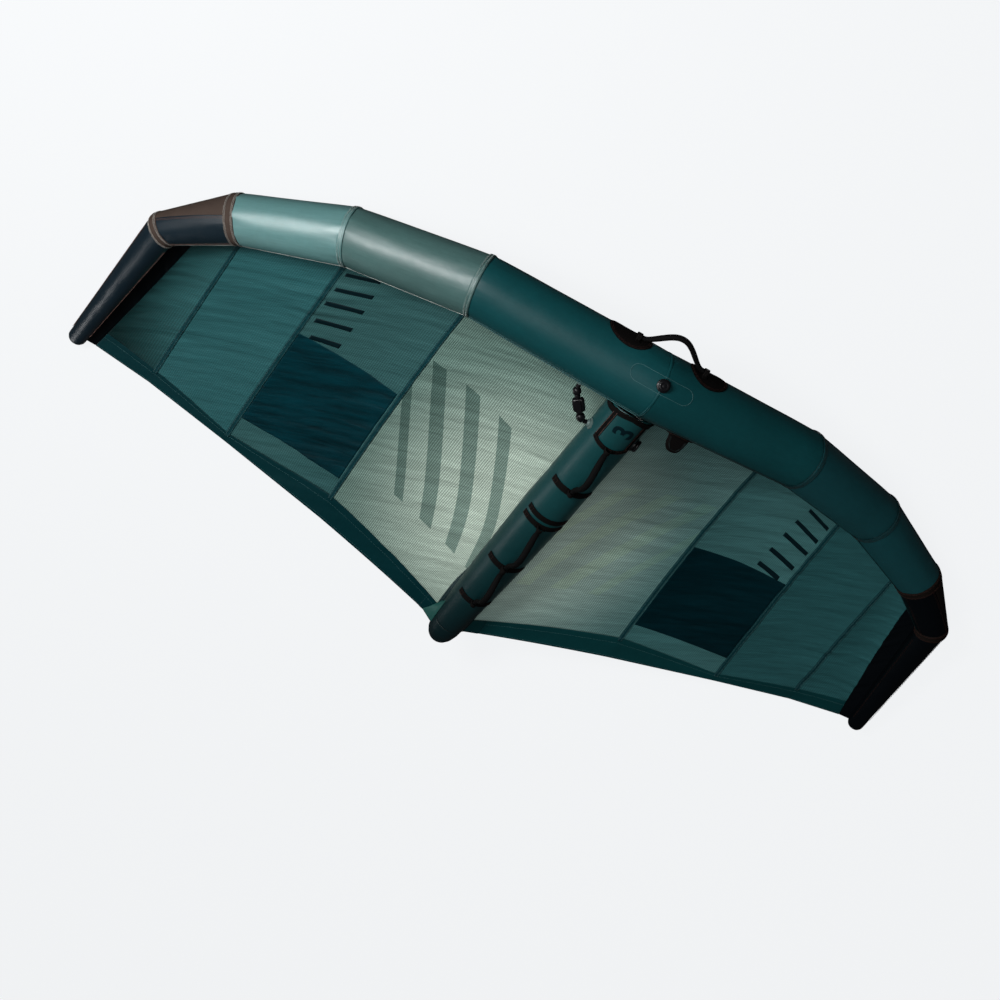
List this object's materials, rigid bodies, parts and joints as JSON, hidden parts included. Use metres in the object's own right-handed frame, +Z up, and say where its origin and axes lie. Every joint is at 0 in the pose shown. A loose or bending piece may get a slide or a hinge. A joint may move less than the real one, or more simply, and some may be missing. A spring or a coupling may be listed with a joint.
{
  "type": "wingfoil wing",
  "caption": "Inflatable wing for wing foiling: a bent leading-edge tube, a tapered centre strut with soft handles, a panelled canopy, valves and a hose.",
  "frame": {"origin": "on the floor under the middle of the box of the wing, which lies on its back on the shoulders and tips of its leading edge", "axes": "+X to the right wing tip, +Y from the leading edge towards the tail, +Z up, on the side of the strut and handles"},
  "size_m": [2.8692, 1.492, 0.4164],
  "materials": {
    "teal_dacron": "satin coated cloth",
    "mint_dacron": "satin coated cloth",
    "navy_dacron": "matt coated cloth",
    "brown_chafe": "matt coated cloth",
    "sage_ripstop": "translucent ripstop cloth",
    "sea_ripstop": "translucent ripstop cloth",
    "deep_teal": "matt cloth",
    "webbing": "woven webbing",
    "bladder": "clear film",
    "plastic": "moulded",
    "hose": "smooth"
  },
  "bodies": {
    "wing": {"canopy_centre_left": "sage_ripstop", "canopy_centre_right": "sage_ripstop", "canopy_inner_left": "sea_ripstop", "canopy_inner_right": "sea_ripstop", "canopy_outer_left": "sea_ripstop", "canopy_outer_right": "sea_ripstop", "canopy_shoulder_left": "deep_teal", "canopy_shoulder_right": "deep_teal", "canopy_tip_left": "navy_dacron", "canopy_tip_right": "navy_dacron", "chafe_band_outer_left": "brown_chafe", "chafe_band_outer_right": "brown_chafe", "chafe_band_shoulder_left": "brown_chafe", "chafe_band_shoulder_right": "brown_chafe", "clip_body": "plastic", "hose_port_le": "hose", "hose_port_strut": "hose", "le_bladder": "bladder", "le_handle_patch_left": "webbing", "le_handle_patch_right": "webbing", "le_sleeve_centre_left": "teal_dacron", "le_sleeve_centre_right": "teal_dacron", "le_sleeve_inner_left": "teal_dacron", "le_sleeve_inner_right": "mint_dacron", "le_sleeve_outer_left": "teal_dacron", "le_sleeve_outer_right": "mint_dacron", "le_sleeve_shoulder_left": "navy_dacron", "le_sleeve_shoulder_right": "navy_dacron", "le_sleeve_tip_left": "navy_dacron", "le_sleeve_tip_right": "navy_dacron", "le_valve_base": "plastic", "leash_loop": "webbing", "leash_patch": "webbing", "seam_tape_inner_left": "deep_teal", "seam_tape_inner_right": "deep_teal", "seam_tape_outer_left": "deep_teal", "seam_tape_outer_right": "deep_teal", "seam_tape_shoulder_left": "deep_teal", "seam_tape_shoulder_right": "deep_teal", "strut_bladder": "bladder", "strut_front_frame": "webbing", "strut_sleeve": "teal_dacron", "strut_strap_1": "webbing", "strut_strap_2": "webbing", "strut_strap_3": "webbing", "strut_strap_4": "webbing", "strut_tail_cap": "teal_dacron", "strut_valve_base": "plastic", "tail_patch_left": "teal_dacron", "tail_patch_right": "teal_dacron", "trailing_edge_left": "teal_dacron", "trailing_edge_right": "teal_dacron", "transfer_hose": "hose"},
    "le_handle_swing": {"le_handle": "webbing"},
    "strut_handle_front_swing": {"strut_handle_front": "webbing"},
    "strut_handle_middle_swing": {"strut_handle_middle": "webbing"},
    "strut_handle_rear_swing": {"strut_handle_rear": "webbing"},
    "le_valve_cap_turn": {"le_valve_cap": "plastic"},
    "strut_valve_cap_turn": {"strut_valve_cap": "plastic"},
    "clip_lever_turn": {"clip_lever": "plastic"}
  },
  "joints": [
    {"name": "le_handle_flex", "type": "hinge", "parent": "wing", "child": "le_handle_swing", "pos_m": [0, -0.68811, 0.30022], "axis": [1, 0, 0], "range_deg": [-35, 35], "stiffness_Nm_per_rad": 0.2},
    {"name": "strut_handle_front_flex", "type": "hinge", "parent": "wing", "child": "strut_handle_front_swing", "pos_m": [0, -0.27411, 0.36246], "axis": [0, 0.9933, -0.1155], "range_deg": [-35, 35], "stiffness_Nm_per_rad": 0.2},
    {"name": "strut_handle_middle_flex", "type": "hinge", "parent": "wing", "child": "strut_handle_middle_swing", "pos_m": [0, 0.11741, 0.31437], "axis": [0, 0.9902, -0.1395], "range_deg": [-35, 35], "stiffness_Nm_per_rad": 0.2},
    {"name": "strut_handle_rear_flex", "type": "hinge", "parent": "wing", "child": "strut_handle_rear_swing", "pos_m": [0, 0.33963, 0.28207], "axis": [0, 0.9887, -0.1497], "range_deg": [-35, 35], "stiffness_Nm_per_rad": 0.2},
    {"name": "le_valve_cap_hinge", "type": "hinge", "parent": "wing", "child": "le_valve_cap_turn", "pos_m": [0, -0.66763, 0.39272], "axis": [1, 0, 0], "range_deg": [0, 110]},
    {"name": "strut_valve_cap_hinge", "type": "hinge", "parent": "wing", "child": "strut_valve_cap_turn", "pos_m": [-0.0653, -0.39666, 0.3375], "axis": [0.0354, 0.9994, 0], "range_deg": [0, 110]},
    {"name": "clip_lever_hinge", "type": "hinge", "parent": "wing", "child": "clip_lever_turn", "pos_m": [0.11342, -0.40904, 0.32276], "axis": [-0.7959, -0.6055, 0], "range_deg": [0, 35]}
  ]
}
